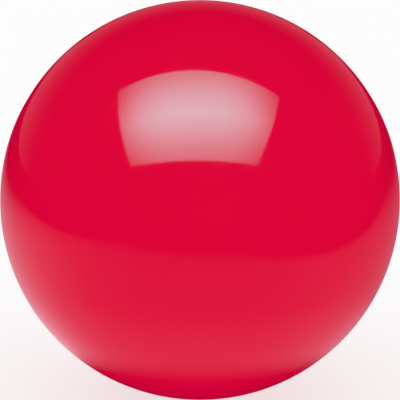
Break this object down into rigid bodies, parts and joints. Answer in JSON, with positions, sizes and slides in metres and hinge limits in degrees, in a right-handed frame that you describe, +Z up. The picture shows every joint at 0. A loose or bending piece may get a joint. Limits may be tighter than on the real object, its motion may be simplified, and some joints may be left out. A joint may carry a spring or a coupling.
{
  "type": "playground ball",
  "caption": "Hollow inflatable rubber ball with a smooth glossy cover, an inner air bladder and a self-sealing needle valve whose core pulls out.",
  "frame": {"origin": "centre of the ball", "axes": "+Z up, +Y along the valve's axis and out of its mouth, so the valve faces away from a viewer in front; the mould line lies in the XZ plane"},
  "size_m": [0.2162, 0.2159, 0.2162],
  "materials": {
    "cover_rubber": "glossy, smooth",
    "bladder_rubber": "matt, dusted",
    "patch_rubber": "matt",
    "housing_rubber": "satin",
    "core_rubber": "satin"
  },
  "bodies": {
    "ball": {"cover": "cover_rubber", "bladder": "bladder_rubber", "valve_patch": "patch_rubber", "valve_housing": "housing_rubber"},
    "core": {"valve_core": "core_rubber"}
  },
  "joints": [
    {"name": "core_pull", "type": "slide", "parent": "ball", "child": "core", "axis": [0, 1, 0], "range_m": [0, 0.024]}
  ]
}
